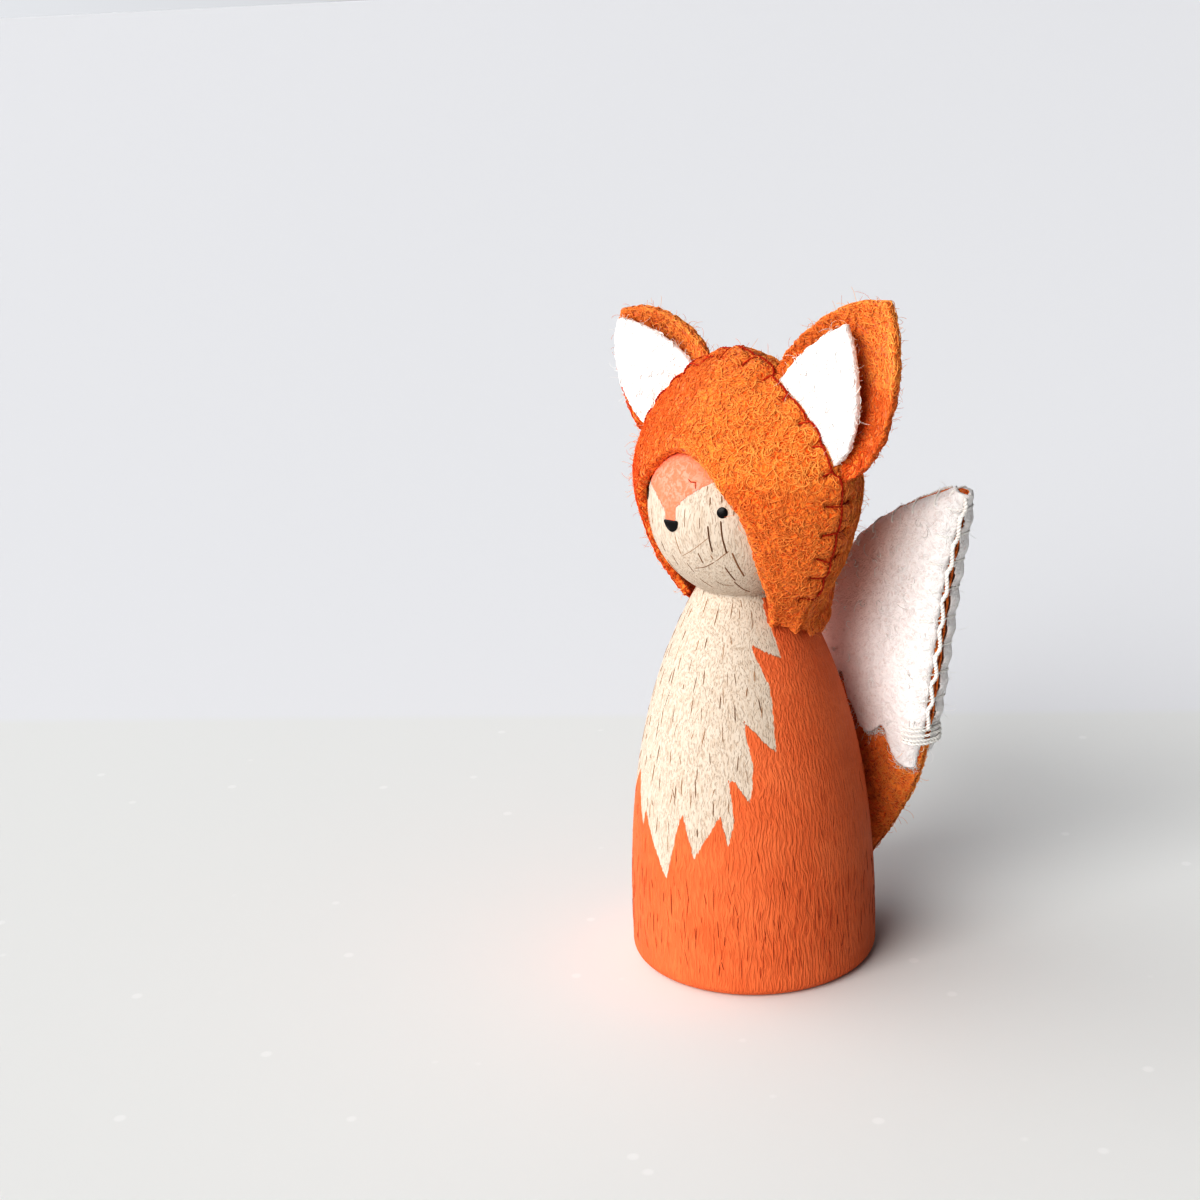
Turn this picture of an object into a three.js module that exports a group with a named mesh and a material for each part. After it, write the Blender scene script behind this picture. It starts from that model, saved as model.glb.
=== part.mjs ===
// Fox peg doll: a turned wooden peg with a ball head, a felt hood with ears and a stuffed felt tail.
// Millimetres. The doll stands on Z = 0, its axis is Z and it faces -Y, so its own left side is +X.
import * as THREE from 'three';
import { mergeVertices } from 'three/addons/utils/BufferGeometryUtils.js';

// Turned peg
const BASE_RADIUS = 17.5;
const FOOT_ROUND = 1.6;
const NECK_HEIGHT = 54.6;
const NECK_RADIUS = 6.45;
const HEAD_RADIUS = 13.0;
const BELL_POWER = 2.72;
const BELL_FULLNESS = 1.15;

// Felt thicknesses, and the gaps that the pieces keep
const HOOD_FELT = 1.2;
const EAR_FELT = 1.2;
const INNER_EAR_FELT = 1.0;
const TAIL_FELT = 0.6;
const TIP_FELT = 0.8;
const PLY_GAP = 0.1;
const SEAM_GAP = 0.2;
const SEAT_GAP = 0.3;

// Hood seam: room between the ball and the felt, at angles counted from the crown down to the neck
const CROWN_ROOM = 7.2;
const TEMPLE_ROOM = 5.6;
const TEMPLE_ANGLE = 45;
const EAR_ROOM = 5.6;
const EAR_ANGLE = 72;
const JAW_ROOM = 3.0;
const JAW_ANGLE = 112;

// Hood hem: how far it hangs below the neck groove, and its room around the shoulder
const HEM_DROP = 2.7;
const HEM_ROOM = 1.9;
const NAPE_DROP = 5.1;
const NAPE_ROOM = 1.9;

// Hood depth in front of and behind the ball, and how full each panel is between its seam and its middle
const FACE_ROOM = 0.3;
const BACK_ROOM = 1.5;
const FRONT_POWER = 1.47;
const BACK_POWER = 1.6;

// Face opening: degrees that the front panel reaches forward from the seam, seen from the ball's centre
const CROWN_REACH_ANGLE = 49;
const TEMPLE_REACH_ANGLE = 50.5;
const EAR_REACH_ANGLE = 46;
const JAW_REACH_ANGLE = 33;
const HEM_REACH_ANGLE = 11.5;
const FLAP_ANGLE = 5;

// Ears: where each base starts and ends along the seam from the crown, and how far each leaf is cupped
const EAR_START = 6.8;
const EAR_END = 24.4;
const EAR_CUP = 2.2;
const EAR_SHOULDER_SHARE = 0.89;
const EAR_CHEEK_SHARE = 0.4;
const INNER_EAR_INSET = 2.0;
const INNER_EAR_HEEL = 2.2;
const INNER_EAR_CUP = 0.5;

// Each hand-cut leaf: its tip's place along and above the base, and how far its edges bulge
const LEFT_OUTER_LEAF = { lean: 5.6, rise: 21.4, crownBulge: 2.2, shoulder: 7, cheekBulge: 2.5 };
const LEFT_INNER_LEAF = { lean: 2.3, rise: 14.0, crownBulge: 0.4, shoulder: 5.3, cheekBulge: 1.0 };
const RIGHT_OUTER_LEAF = { lean: 8.5, rise: 16.3, crownBulge: 1.6, shoulder: 5.8, cheekBulge: 2.6 };
const RIGHT_INNER_LEAF = { lean: 7.2, rise: 14.2, crownBulge: -0.9, shoulder: 5.5, cheekBulge: 1.6 };

// Tail: the two edges of its leaf, [sideways, up] from the root to the tip
const TAIL_OUTER_EDGE = [
  [2.2, 5.6], [7.0, 11.8], [11.8, 18.9], [15.8, 27.3], [18.4, 40.7], [20.2, 53.2], [22.2, 61.7], [24.1, 67.8],
];
const TAIL_INNER_EDGE = [
  [1.2, 5.9], [-1.5, 14], [-3, 25], [-3, 37], [-1, 48], [4.4, 58.3], [12.4, 64.1], [22.6, 68.8],
];
const TAIL_PUFF = 2.2;
const TAIL_PRESS = 0.6;
const RIM_SQUEEZE_SHARE = 0.5;
const TAIL_SEAT_HEIGHT = 12;
const STUFFING_INSET_SHARE = 0.09;
const STUFFING_EASE = 0.2;
const TIP_INSET_SHARE = 0.015;
const TIP_BACK_SHARE = 0.03;
const TIP_LOBE_SHARE = 0.13;

// Notches of the white tip's scalloped edge, [share across the leaf, share along it]
const TIP_NOTCH_SHARES = [[0, 0.5], [0.3, 0.485], [0.44, 0.445], [0.715, 0.46], [1.12, 0.455]];

// Facets
const PEG_SIDES = 56;
const FOOT_STEPS = 4;
const BELL_STEPS = 18;
const BALL_STEPS = 16;
const SEAM_STEPS = 34;
const FRONT_STEPS = 11;
const BACK_STEPS = 9;
const NAPE_STEPS = 10;
const EAR_STEPS = 12;
const EAR_ROWS = 7;
const TAIL_STEPS = 20;
const TAIL_ROWS = 8;
const STUFFING_ROWS = 6;
const TIP_STEPS = 8;
const TIP_ROWS = 24;

const HEAD_HEIGHT = NECK_HEIGHT + Math.sqrt(HEAD_RADIUS ** 2 - NECK_RADIUS ** 2);
const HEAD_CENTRE = new THREE.Vector3(0, 0, HEAD_HEIGHT);

const felt = (color) => new THREE.MeshStandardMaterial({ color, roughness: 0.95, metalness: 0 });
const beech = () => new THREE.MeshStandardMaterial({ color: 0xdfc3a0, roughness: 0.6, metalness: 0 });
const ORANGE = 0xe5702a;
const WHITE = 0xf1eeea;

// Radius of the bell-shaped body at a height, full at the foot and drawn in to the neck.
function bodyRadius(z) {
  const neckDrop = 1 - (NECK_RADIUS / BASE_RADIUS) ** BELL_FULLNESS;
  const top = NECK_HEIGHT / neckDrop ** (1 / BELL_POWER);
  return BASE_RADIUS * (1 - (z / top) ** BELL_POWER) ** (1 / BELL_FULLNESS);
}

// The peg's half outline from the middle of its foot to the top of the ball.
function pegOutline() {
  const outline = [new THREE.Vector2(0, 0)];
  for (let i = 0; i <= FOOT_STEPS; i++) {
    const turn = (i / FOOT_STEPS) * (Math.PI / 2);
    const z = FOOT_ROUND * (1 - Math.cos(turn));
    outline.push(new THREE.Vector2(bodyRadius(z) - FOOT_ROUND * (1 - Math.sin(turn)), z));
  }
  for (let i = 1; i <= BELL_STEPS; i++) {
    const z = FOOT_ROUND + (i / BELL_STEPS) * (NECK_HEIGHT - FOOT_ROUND);
    outline.push(new THREE.Vector2(bodyRadius(z), z));
  }
  const chin = Math.asin((NECK_HEIGHT - HEAD_HEIGHT) / HEAD_RADIUS);
  for (let i = 1; i < BALL_STEPS; i++) {
    const rise = chin + (i / BALL_STEPS) * (Math.PI / 2 - chin);
    outline.push(new THREE.Vector2(HEAD_RADIUS * Math.cos(rise), HEAD_HEIGHT + HEAD_RADIUS * Math.sin(rise)));
  }
  outline.push(new THREE.Vector2(0, HEAD_HEIGHT + HEAD_RADIUS));
  return outline;
}

function signedVolume(position, index) {
  const [a, b, c] = [new THREE.Vector3(), new THREE.Vector3(), new THREE.Vector3()];
  let volume = 0;
  for (let i = 0; i < index.length; i += 3) {
    a.fromBufferAttribute(position, index[i]);
    b.fromBufferAttribute(position, index[i + 1]);
    c.fromBufferAttribute(position, index[i + 2]);
    volume += a.dot(b.cross(c)) / 6;
  }
  return volume;
}

// A closed sheet between two grids of points, its four edges walled. With wraps, the last column meets
// the first.
function closedSheet(outer, inner, wraps = false) {
  const rows = outer.length;
  const columns = outer[0].length;
  const points = [...outer.flat(), ...inner.flat()];
  const out = (i, j) => i * columns + (j % columns);
  const back = (i, j) => rows * columns + out(i, j);
  const faces = [];
  const quad = (a, b, c, d) => faces.push(a, b, c, a, c, d);
  const lastColumn = wraps ? columns : columns - 1;
  for (let i = 0; i < rows - 1; i++) {
    for (let j = 0; j < lastColumn; j++) {
      quad(out(i, j), out(i, j + 1), out(i + 1, j + 1), out(i + 1, j));
      quad(back(i, j), back(i + 1, j), back(i + 1, j + 1), back(i, j + 1));
    }
  }
  for (let j = 0; j < lastColumn; j++) {
    quad(out(0, j), back(0, j), back(0, j + 1), out(0, j + 1));
    quad(out(rows - 1, j), out(rows - 1, j + 1), back(rows - 1, j + 1), back(rows - 1, j));
  }
  if (!wraps) {
    for (let i = 0; i < rows - 1; i++) {
      quad(out(i, 0), out(i + 1, 0), back(i + 1, 0), back(i, 0));
      quad(out(i, columns - 1), back(i, columns - 1), back(i + 1, columns - 1), out(i + 1, columns - 1));
    }
  }
  const loose = new THREE.BufferGeometry().setFromPoints(points).setIndex(faces);
  const sheet = mergeVertices(loose, 1e-3);
  let kept = [];
  for (let i = 0; i < sheet.index.count; i += 3) {
    const [a, b, c] = [sheet.index.getX(i), sheet.index.getX(i + 1), sheet.index.getX(i + 2)];
    if (a !== b && b !== c && c !== a) kept.push(a, b, c);
  }
  if (signedVolume(sheet.getAttribute('position'), kept) < 0) kept = kept.reverse();
  sheet.setIndex(kept);
  sheet.computeVertexNormals();
  return sheet;
}

// Seam of the hood in the plane Y = 0, as the felt's inner face, from the right hem over the crown to
// the left hem.
const HEM_HEIGHT = NECK_HEIGHT - HEM_DROP;
const HEM_RADIUS = bodyRadius(HEM_HEIGHT) + HEM_ROOM;
const NAPE_HEIGHT = NECK_HEIGHT - NAPE_DROP;
const NAPE_RADIUS = bodyRadius(NAPE_HEIGHT) + NAPE_ROOM;

function seamPoint(angle, room) {
  const turn = THREE.MathUtils.degToRad(angle);
  const radius = HEAD_RADIUS + room;
  return [radius * Math.sin(turn), HEAD_HEIGHT + radius * Math.cos(turn)];
}

const SEAM_HALF = [
  [...seamPoint(TEMPLE_ANGLE, TEMPLE_ROOM), TEMPLE_REACH_ANGLE],
  [...seamPoint(EAR_ANGLE, EAR_ROOM), EAR_REACH_ANGLE],
  [...seamPoint(JAW_ANGLE, JAW_ROOM), JAW_REACH_ANGLE],
  [HEM_RADIUS, HEM_HEIGHT, HEM_REACH_ANGLE],
];
const SEAM_KNOTS = [
  ...SEAM_HALF.map(([x, z, reach]) => [-x, z, reach]).reverse(),
  [...seamPoint(0, CROWN_ROOM), CROWN_REACH_ANGLE],
  ...SEAM_HALF,
];
const seamLine = new THREE.CatmullRomCurve3(SEAM_KNOTS.map(([x, z]) => new THREE.Vector3(x, 0, z)));
const reachLine = new THREE.SplineCurve(SEAM_KNOTS.map(([, , reach], i) => new THREE.Vector2(i, reach)));

// Distance from the ball's centre to a panel's inner face, at a tilt away from the seam's plane.
function wrapRadius(tilt, side, depth, power) {
  return ((Math.cos(tilt) / side) ** power + (Math.sin(tilt) / depth) ** power) ** (-1 / power);
}

// A point at a turn round the Y axis from the crown, a tilt out of the seam's plane and a distance from
// the ball's centre.
function aroundHead(turn, tilt, distance) {
  const direction = new THREE.Vector3(
    Math.sin(turn) * Math.cos(tilt), Math.sin(tilt), Math.cos(turn) * Math.cos(tilt),
  );
  return direction.multiplyScalar(distance).add(HEAD_CENTRE);
}

function hoodFrontPanel() {
  const depth = HEAD_RADIUS + FACE_ROOM;
  const hemTurn = Math.atan2(HEM_RADIUS, HEM_HEIGHT - HEAD_HEIGHT);
  const flap = THREE.MathUtils.degToRad(FLAP_ANGLE) / hemTurn;
  const grid = (thickness) => {
    const rows = [];
    for (let i = 0; i <= FRONT_STEPS; i++) {
      const row = [];
      for (let j = 0; j <= SEAM_STEPS; j++) {
        const seam = seamLine.getPoint(j / SEAM_STEPS);
        const reach = THREE.MathUtils.degToRad(reachLine.getPoint(j / SEAM_STEPS).y);
        const forward = i / FRONT_STEPS;
        const turn = Math.atan2(seam.x, seam.z - HEAD_HEIGHT) * (1 + flap * forward);
        const radius = wrapRadius(reach * forward, seam.distanceTo(HEAD_CENTRE), depth, FRONT_POWER);
        row.push(aroundHead(turn, -reach * forward, radius + thickness));
      }
      rows.push(row);
    }
    return rows;
  };
  const panel = closedSheet(grid(HOOD_FELT), grid(0));
  panel.translate(0, -SEAM_GAP / 2, 0);
  return panel;
}

function hoodBackPanel() {
  const depth = HEAD_RADIUS + BACK_ROOM;
  const border = [];
  for (let j = 0; j < SEAM_STEPS; j++) border.push(seamLine.getPoint(j / SEAM_STEPS));
  for (let j = 0; j < NAPE_STEPS; j++) {
    const turn = (j / NAPE_STEPS) * Math.PI;
    const drop = (HEM_HEIGHT - NAPE_HEIGHT) * Math.sqrt(Math.sin(turn));
    const [x, y] = [HEM_RADIUS * Math.cos(turn), NAPE_RADIUS * Math.sin(turn)];
    border.push(new THREE.Vector3(x, y, HEM_HEIGHT - drop));
  }
  const grid = (thickness) => {
    const rows = [];
    for (let i = 0; i <= BACK_STEPS; i++) {
      rows.push(border.map((edge) => {
        const arm = edge.clone().sub(HEAD_CENTRE);
        const distance = arm.length();
        const edgeTilt = Math.asin(arm.y / distance);
        const bare = distance ** -BACK_POWER - (Math.sin(edgeTilt) / depth) ** BACK_POWER;
        const side = Math.cos(edgeTilt) * bare ** (-1 / BACK_POWER);
        const tilt = THREE.MathUtils.lerp(Math.PI / 2, edgeTilt, i / BACK_STEPS);
        const radius = i === 0 ? depth : wrapRadius(tilt, side, depth, BACK_POWER);
        return aroundHead(Math.atan2(arm.x, arm.z), tilt, radius + thickness);
      }));
    }
    return rows;
  };
  const panel = closedSheet(grid(HOOD_FELT), grid(0), true);
  panel.translate(0, SEAM_GAP / 2, 0);
  return panel;
}

// A felt leaf that stands on the seam's ridge. Its rim rises from the start of its base to the tip and falls
// again to the end, and the felt between the base and the rim is cupped.
function earLeaf(side, start, end, leaf, cup, faceY, thickness) {
  const length = seamLine.getLength();
  const onRidge = (along) => {
    const seam = seamLine.getPointAt(0.5 + along / length);
    const outward = seam.clone().sub(HEAD_CENTRE).normalize();
    return seam.addScaledVector(outward, HOOD_FELT + SEAT_GAP);
  };
  const first = onRidge(start);
  const last = onRidge(end);
  const chord = last.clone().sub(first);
  const base = chord.length();
  chord.normalize();
  const outward = new THREE.Vector3(-chord.z, 0, chord.x);
  const at = (along, up) => first.clone().addScaledVector(chord, along).addScaledVector(outward, up);
  const tip = at(leaf.lean, leaf.rise);
  const lowCrown = at(-leaf.crownBulge / 2, leaf.rise / 4);
  const highCrown = at(leaf.lean / 3 - leaf.crownBulge, leaf.rise * 3 / 4);
  const crownEdge = new THREE.CubicBezierCurve3(first, lowCrown, highCrown, tip);
  const shoulder = at(leaf.lean + leaf.shoulder, leaf.rise * EAR_SHOULDER_SHARE);
  const cheek = at(base + leaf.cheekBulge, leaf.rise * EAR_CHEEK_SHARE);
  const cheekEdge = new THREE.CubicBezierCurve3(tip, shoulder, cheek, last);
  const grid = (y) => {
    const rows = [];
    for (let i = 0; i <= EAR_ROWS; i++) {
      const row = [];
      for (let j = 0; j <= EAR_STEPS; j++) {
        const across = j / EAR_STEPS;
        const foot = onRidge(THREE.MathUtils.lerp(start, end, across));
        const rim = across < 0.5 ? crownEdge.getPoint(2 * across) : cheekEdge.getPoint(2 * across - 1);
        const up = i / EAR_ROWS;
        const point = foot.lerp(rim, up);
        point.y = y + cup * Math.sin(Math.PI * up) * Math.sin(Math.PI * across);
        point.x *= side;
        row.push(point);
      }
      rows.push(row);
    }
    return rows;
  };
  return closedSheet(grid(faceY), grid(faceY + thickness));
}

function outerEar(side, leaf) {
  return earLeaf(side, EAR_START, EAR_END, leaf, EAR_CUP, PLY_GAP / 2, EAR_FELT);
}

function innerEar(side, leaf) {
  const start = EAR_START + INNER_EAR_INSET;
  const end = EAR_END - INNER_EAR_HEEL;
  return earLeaf(side, start, end, leaf, -INNER_EAR_CUP, -PLY_GAP / 2 - INNER_EAR_FELT, INNER_EAR_FELT);
}

// The tail's middle plane stands behind the peg, so that the front felt just seats on the back of the body.
const TAIL_Y = bodyRadius(TAIL_SEAT_HEIGHT) + SEAT_GAP + TAIL_FELT + PLY_GAP + TAIL_PRESS;
const leafEdge = (edge) => new THREE.CatmullRomCurve3(edge.map(([x, z]) => new THREE.Vector3(x, 0, z)));
const tailInner = leafEdge(TAIL_INNER_EDGE);
const tailOuter = leafEdge(TAIL_OUTER_EDGE);

// How full the tail is: one in the middle of the leaf and nothing at its rim.
function tailFullness(along, across) {
  return Math.sqrt(Math.max(0, 16 * along * (1 - along) * across * (1 - across)));
}

// Half the stuffing's thickness. The body presses the front side flat.
function tailPuff(point, along, across, front) {
  const puff = TAIL_PUFF * tailFullness(along, across);
  const body = bodyRadius(Math.min(point.z, NECK_HEIGHT));
  if (!front || Math.abs(point.x) > body) return puff;
  const back = Math.sqrt(body ** 2 - point.x ** 2);
  return Math.min(puff, TAIL_Y - back - SEAT_GAP - TAIL_FELT - PLY_GAP);
}

// The stitches squeeze the layers of felt along the rim, most of all at the root and the tip.
function rimSqueeze(along, across) {
  return 1 - RIM_SQUEEZE_SHARE * (1 - tailFullness(along, across)) * (1 - Math.sin(Math.PI * along ** 2));
}

// A grid over the leaf on one face of the tail, lifted off the stuffing.
function tailFace(rows, columns, place, front, lift) {
  const grid = [];
  for (let i = 0; i <= rows; i++) {
    const row = [];
    for (let j = 0; j <= columns; j++) {
      const [along, across] = place(i / rows, j / columns);
      const point = tailInner.getPoint(along).lerp(tailOuter.getPoint(along), across);
      const offset = tailPuff(point, along, across, front) + lift * rimSqueeze(along, across);
      point.y = TAIL_Y + (front ? -offset : offset);
      row.push(point);
    }
    grid.push(row);
  }
  return grid;
}

function tailFelt(front) {
  const whole = (i, j) => [i, j];
  const face = (lift) => tailFace(TAIL_STEPS, TAIL_ROWS, whole, front, lift);
  return closedSheet(face(PLY_GAP + TAIL_FELT), face(PLY_GAP));
}

function tailStuffing() {
  const inset = (share) => THREE.MathUtils.lerp(STUFFING_INSET_SHARE, 1 - STUFFING_INSET_SHARE, share);
  const inside = (i, j) => [inset(i), inset(j)];
  const face = (front) => tailFace(TAIL_STEPS, STUFFING_ROWS, inside, front, -STUFFING_EASE);
  return closedSheet(face(false), face(true));
}

// Where the white tip's scalloped edge lies along the leaf, with a rounded lobe between every two notches.
function scallopedEdge(across) {
  const next = TIP_NOTCH_SHARES.findIndex(([place]) => place > across);
  const [from, startFrom] = TIP_NOTCH_SHARES[next - 1];
  const [to, startTo] = TIP_NOTCH_SHARES[next];
  const share = (across - from) / (to - from);
  const lobe = TIP_LOBE_SHARE * (to - from) * Math.sin(Math.PI * share);
  return THREE.MathUtils.lerp(startFrom, startTo, share) - lobe;
}

// The white felt over the tip, from its scalloped edge to the end of the leaf.
function tailTip(front) {
  const overlay = (i, j) => {
    const across = THREE.MathUtils.lerp(TIP_INSET_SHARE, 1 - TIP_INSET_SHARE, j);
    const start = scallopedEdge(across) + (front ? 0 : TIP_BACK_SHARE);
    return [THREE.MathUtils.lerp(start, 1 - TIP_INSET_SHARE, i), across];
  };
  const under = PLY_GAP + TAIL_FELT + PLY_GAP;
  const face = (lift) => tailFace(TIP_STEPS, TIP_ROWS, overlay, front, lift);
  return closedSheet(face(under + TIP_FELT), face(under));
}

function piece(name, geometry, material) {
  const mesh = new THREE.Mesh(geometry, material);
  mesh.name = name;
  return mesh;
}

const peg = piece('peg_body', new THREE.LatheGeometry(pegOutline(), PEG_SIDES), beech());
peg.rotation.x = Math.PI / 2;

const hood = new THREE.Group();
hood.add(piece('hood_front_panel', hoodFrontPanel(), felt(ORANGE)));
hood.add(piece('hood_back_panel', hoodBackPanel(), felt(ORANGE)));
hood.add(piece('ear_left_outer', outerEar(1, LEFT_OUTER_LEAF), felt(ORANGE)));
hood.add(piece('ear_left_inner', innerEar(1, LEFT_INNER_LEAF), felt(WHITE)));
hood.add(piece('ear_right_outer', outerEar(-1, RIGHT_OUTER_LEAF), felt(ORANGE)));
hood.add(piece('ear_right_inner', innerEar(-1, RIGHT_INNER_LEAF), felt(WHITE)));

const tail = new THREE.Group();
tail.add(piece('tail_stuffing', tailStuffing(), felt(WHITE)));
for (const [name, front] of [['front', true], ['back', false]]) {
  tail.add(piece(`tail_${name}_felt`, tailFelt(front), felt(ORANGE)));
  tail.add(piece(`tail_tip_${name}`, tailTip(front), felt(WHITE)));
}

const doll = new THREE.Group();
doll.add(peg, hood, tail);

export default doll;
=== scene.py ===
"""Fox peg doll: the finishes of a turned wooden peg, its sewn felt hood and its stuffed felt tail.

Metres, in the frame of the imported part: the doll stands on Z = 0 and faces -Y, and its own left is +X.
"""

import math
import random

import bmesh
import bpy
import numpy as np
from mathutils import Matrix, Vector
from mathutils.bvhtree import BVHTree
from mathutils.kdtree import KDTree


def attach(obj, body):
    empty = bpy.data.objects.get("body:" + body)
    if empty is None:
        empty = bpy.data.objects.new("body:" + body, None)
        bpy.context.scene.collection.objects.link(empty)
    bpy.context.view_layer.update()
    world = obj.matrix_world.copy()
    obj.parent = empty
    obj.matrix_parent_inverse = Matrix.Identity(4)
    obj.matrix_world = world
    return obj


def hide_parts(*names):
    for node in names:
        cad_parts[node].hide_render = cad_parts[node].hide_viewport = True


MM = 0.001
WELD = 0.001 * MM

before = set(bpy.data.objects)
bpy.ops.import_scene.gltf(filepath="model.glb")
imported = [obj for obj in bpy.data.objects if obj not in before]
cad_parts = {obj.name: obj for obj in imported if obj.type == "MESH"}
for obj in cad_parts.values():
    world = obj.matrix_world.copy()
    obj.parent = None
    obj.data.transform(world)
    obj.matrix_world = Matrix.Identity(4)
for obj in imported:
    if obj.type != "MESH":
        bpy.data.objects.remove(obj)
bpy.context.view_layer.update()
scene = bpy.context.scene

# Turned peg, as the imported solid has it
BASE_RADIUS = 17.5 * MM
FOOT_ROUND = 1.6 * MM
NECK_HEIGHT = 54.6 * MM
NECK_RADIUS = 6.45 * MM
HEAD_RADIUS = 13.0 * MM
BELL_POWER = 2.72
BELL_FULLNESS = 1.15
HEAD_CENTRE = Vector((0, 0, NECK_HEIGHT + math.sqrt(HEAD_RADIUS**2 - NECK_RADIUS**2)))

# Facets of the peg, fine enough for crisp painted edges
PEG_SIDES = 300
FOOT_STEPS = 8
BELL_STEPS = 150
BALL_STEPS = 120

# Painted edges. The bib's corners are [degrees from the front, height in mm] on the body, from the doll's
# left shoulder down to the lowest tip and up again. The blaze's are [degrees from the front, degrees up].
BIB = [
    (66.6, 60), (66.6, 51.2), (70, 50.9), (73, 46.6), (50.5, 48.7), (61.8, 43.2), (61.7, 34.7),
    (43.7, 39.4), (49.2, 33.1), (46.7, 28.3), (39.4, 31.2), (36, 31.4), (39.3, 25.9), (36.2, 22.1),
    (32.2, 26.5), (19.1, 19.9), (11.5, 26.3), (3.4, 15.8), (-15.8, 24.2), (-17.6, 21.4), (-29.6, 29.0),
    (-41, 24.5), (-43, 32.5), (-55, 29), (-47, 39), (-63, 35.5), (-52, 47.8), (-72, 46.5), (-67, 51.5),
    (-66, 60),
]
BLAZE = [
    (-5.4, 0.5), (3.8, 1), (3.9, 9.4), (8, 13.9), (13, 17.7), (18, 21.4), (23.4, 24.1), (28.5, 26.2),
    (50, 36), (60, 75), (-60, 75), (-62, 24), (-44.8, 18.5), (-21.4, 14.6), (-12.3, 10.5), (-7.2, 7.3),
    (-5.8, 5),
]

# Nose and eyes, in degrees from the front and up from the ball's middle
NOSE_CORNERS = [(-7.4, 0.3), (6.1, 1.5), (4.6, -4.0), (0, -6.4), (-3.8, -4.8)]
EYE_PLACES = {"left": (34.9, 8.9), "right": (-37.5, 8.9)}
EYE_RADIUS = 0.74 * MM
EYE_STAND = 0.16 * MM
NOSE_STAND = 0.1 * MM
NOSE_ROUND = 0.45 * MM

# Grain lines on the bare face: [degrees from the front, degrees up] from end to end, and the width in mm
# before FACE_LINE_SHARE widens them all
FACE_LINES = [
    ([(26.1, 1.4), (26.6, -7), (27.7, -16.1)], 0.19), ([(33.9, 4.6), (34.6, -6), (36.7, -16.4)], 0.19),
    ([(24.7, 24.5), (24.6, 19.8)], 0.11), ([(27.1, 18.1), (27.3, 12.2)], 0.15),
    ([(34.2, 19.3), (34.7, 13.8)], 0.14), ([(10.6, 9.7), (10.5, -2.2)], 0.08),
    ([(2.1, -8.0), (2.8, -14), (4.0, -21.0)], 0.11), ([(5.9, -25.3), (9.3, -33.8)], 0.1),
    ([(17.7, -16.5), (20.0, -24.9)], 0.14), ([(26.0, -17.3), (27.7, -21.1)], 0.13),
    ([(39.7, -15.0), (42.6, -24), (46.9, -34.2)], 0.2), ([(34.1, -25.5), (40.3, -38.0)], 0.16),
    ([(38.5, -38.0), (45, -47), (52.1, -52)], 0.15), ([(10.4, -38.1), (18.3, -47.3)], 0.1),
    ([(-15.2, -14.3), (-13.7, -22.7)], 0.1), ([(41.9, 11.2), (41.4, 6.6)], 0.13),
    ([(20.8, 5.7), (20.8, -1.9)], 0.08), ([(3.7, -21.6), (15, -15), (26.2, -6.3)], 0.06),
    ([(10.9, -29.4), (20, -27), (28.3, -22.3)], 0.09), ([(28.3, -22.3), (34, -17.6), (38.3, -14.0)], 0.09),
    ([(-24, 4), (-23, -7)], 0.1), ([(-32, -3), (-30.5, -14)], 0.12), ([(-6, -22), (-4.8, -31)], 0.1),
    ([(-20, -29), (-17, -40)], 0.12), ([(24, -39), (31, -43), (39, -43)], 0.08),
]
FACE_LINE_SHARE = 1.25
# A crack in the blaze, drawn as a dark line of painted shade
BLAZE_CRACK = [(9.1, 26.9), (12.4, 25.2), (15.9, 25.2), (16.1, 23), (17.1, 21.1)]


def srgb(red, green, blue):
    """A colour as it looks on a screen, from 0 to 255, as the linear colour that shaders take."""
    shares = [c / 255 for c in (red, green, blue)]
    return (*[s / 12.92 if s <= 0.04045 else ((s + 0.055) / 1.055) ** 2.4 for s in shares], 1.0)


class Shader:
    """A material's node tree, built with one plain call for each node."""

    def __init__(self, name):
        self.material = bpy.data.materials.new(name)
        self.material.use_nodes = True
        self.tree = self.material.node_tree
        self.surface = self.tree.nodes["Principled BSDF"]
        self.place = self.add("TexCoord").outputs["Object"]

    def put(self, socket, value):
        if isinstance(value, bpy.types.NodeSocket):
            self.tree.links.new(value, socket)
        else:
            socket.default_value = value

    def add(self, kind, inputs=None, **settings):
        node = self.tree.nodes.new("ShaderNode" + kind)
        for name, value in settings.items():
            setattr(node, name, value)
        for name, value in (inputs or {}).items():
            self.put(node.inputs[name], value)
        return node

    def math(self, operation, a, b=0.0):
        return self.add("Math", {0: a, 1: b}, operation=operation).outputs[0]

    def stretched(self, scale, turn=(0, 0, 0), place=None):
        where = self.place if place is None else place
        return self.add("Mapping", {"Vector": where, "Scale": scale, "Rotation": turn}).outputs[0]

    def noise(self, scale, detail=2.0, roughness=0.5, distortion=0.0, vector=None):
        sizes = {"Scale": scale, "Detail": detail, "Roughness": roughness, "Distortion": distortion}
        where = self.place if vector is None else vector
        return self.add("TexNoise", {"Vector": where, **sizes}).outputs[0]

    def ramp(self, value, low, high, start=0.0, end=1.0):
        limits = {"Value": value, "From Min": low, "From Max": high, "To Min": start, "To Max": end}
        return self.add("MapRange", limits, interpolation_type="SMOOTHSTEP").outputs[0]

    def mix(self, share, first, second):
        return self.add("Mix", {0: share, 6: first, 7: second}, data_type="RGBA").outputs[2]

    def attribute(self, name):
        return self.add("Attribute", attribute_name=name).outputs["Fac"]

    def bump(self, height, distance, strength=1.0):
        facts = {"Height": height, "Distance": distance, "Strength": strength}
        self.put(self.surface.inputs["Normal"], self.add("Bump", facts).outputs[0])

    def set(self, **inputs):
        for name, value in inputs.items():
            self.put(self.surface.inputs[name.replace("_", " ")], value)


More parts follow.
